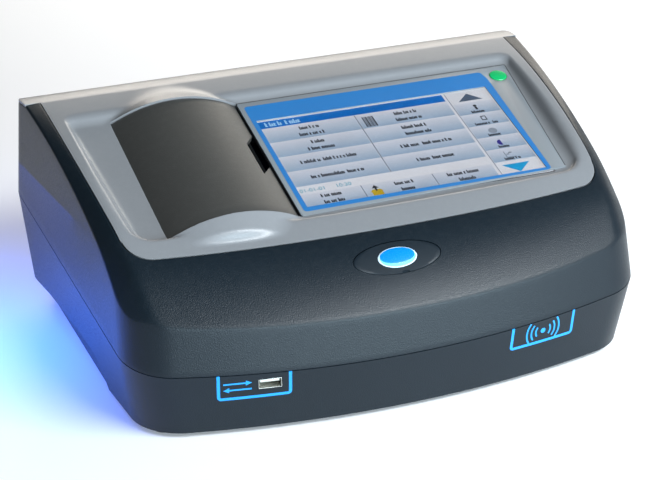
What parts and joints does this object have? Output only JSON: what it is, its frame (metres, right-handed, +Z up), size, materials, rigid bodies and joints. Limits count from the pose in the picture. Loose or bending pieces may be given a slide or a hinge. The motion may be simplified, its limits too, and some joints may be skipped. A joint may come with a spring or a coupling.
{
  "type": "spectrophotometer",
  "caption": "Bench spectrophotometer: wedge-shaped case with a touch screen, a rolling lid over the cell compartment, optics inside and sockets at front and rear.",
  "frame": {"origin": "on the surface it stands on, under the middle of the case", "axes": "+X to the user's right, +Y from the user to the rear wall, +Z up"},
  "size_m": [0.3496, 0.255, 0.1477],
  "materials": {
    "shell_dark": "fine grained, dark slate",
    "cover_light": "fine grained, light grey",
    "lid_plastic": "fine grained, dark grey",
    "badge_dark": "satin, dark slate",
    "badge_blue": "gloss, light blue",
    "foil": "satin printed foil, grey with a blue frame",
    "screen_glass": "clear touch glass",
    "screen": "lit colour screen",
    "green_light": "green lens",
    "blue_ink": "blue inlay",
    "steel": "plated steel sheet",
    "aluminium": "cast and machined",
    "black_plastic": "black, light-tight",
    "white_plastic": "moulded insert",
    "motor_metal": "dark painted motor can",
    "board_green": "circuit board",
    "foot_rubber": "matte rubber",
    "optical_glass": "polished glass",
    "optical_mirror": "front-coated mirror"
  },
  "bodies": {
    "case": {"badge_emblem": "badge_blue", "badge_plate": "badge_dark", "barcode_reader": "black_plastic", "beam_splitter": "optical_glass", "cell_holder": "black_plastic", "collimating_mirror": "optical_mirror", "condenser_lens": "optical_glass", "dc_inlet": "black_plastic", "display_bracket": "steel", "display_overlay": "foil", "door_screws": "steel", "entrance_slit": "steel", "ethernet_socket": "steel", "exit_slit": "steel", "fan_frame": "black_plastic", "feet": "foot_rubber", "filter_motor": "motor_metal", "focusing_mirror": "optical_mirror", "front_usb_shell": "steel", "front_usb_tongue": "white_plastic", "grating_motor": "motor_metal", "halogen_lamp": "optical_glass", "heat_sink": "aluminium", "housing_screws": "steel", "lamp_door": "black_plastic", "lamp_holder": "aluminium", "lcd_module": "screen", "lens_mount": "aluminium", "lid_track_front": "black_plastic", "lid_track_rear": "black_plastic", "lower_housing": "shell_dark", "main_board": "board_green", "optical_base": "aluminium", "optics_screws": "steel", "reader_board": "board_green", "reader_outline": "blue_ink", "rear_panel": "black_plastic", "rear_usb_shell": "steel", "rear_usb_tongue": "white_plastic", "reference_detector": "black_plastic", "sample_detector": "black_plastic", "sample_tub": "black_plastic", "status_light": "green_light", "switch_body": "black_plastic", "top_bezel": "cover_light", "touch_glass": "screen_glass", "turntable_motor": "motor_metal", "upper_housing": "shell_dark", "usb_b_shell": "steel", "usb_b_tongue": "white_plastic", "usb_outline": "blue_ink"},
    "lid": {"sample_lid": "lid_plastic"},
    "rocker": {"power_rocker": "black_plastic"},
    "turntable": {"vial_turntable": "black_plastic"},
    "filter_carrier": {"filter_wheel": "black_plastic", "filters": "optical_glass"},
    "turret": {"grating_turret": "aluminium", "grating": "optical_mirror"},
    "fan": {"fan_rotor": "black_plastic"}
  },
  "joints": [
    {"name": "lid_roll", "type": "hinge", "parent": "case", "child": "lid", "pos_m": [-0.082, 0.02113, 0.05858], "axis": [0, -0.9636, -0.2672], "range_deg": [0, 54]},
    {"name": "power_rocker_tip", "type": "hinge", "parent": "case", "child": "rocker", "pos_m": [-0.02, 0.1203, 0.053], "axis": [0, 0, 1], "range_deg": [0, 14]},
    {"name": "vial_spin", "type": "hinge", "parent": "case", "child": "turntable", "pos_m": [-0.101, 0.01, 0.018], "axis": [0, 0, 1], "continuous": true},
    {"name": "filter_turn", "type": "hinge", "parent": "case", "child": "filter_carrier", "pos_m": [0.0623, 0.069, 0.044], "axis": [1, 0, 0], "continuous": true},
    {"name": "grating_scan", "type": "hinge", "parent": "case", "child": "turret", "pos_m": [0.044, 0.03, 0.031], "axis": [0, 0, 1], "range_deg": [-40, 40]},
    {"name": "fan_spin", "type": "hinge", "parent": "case", "child": "fan", "pos_m": [-0.09, 0.118, 0.038], "axis": [0, 1, 0], "continuous": true}
  ]
}
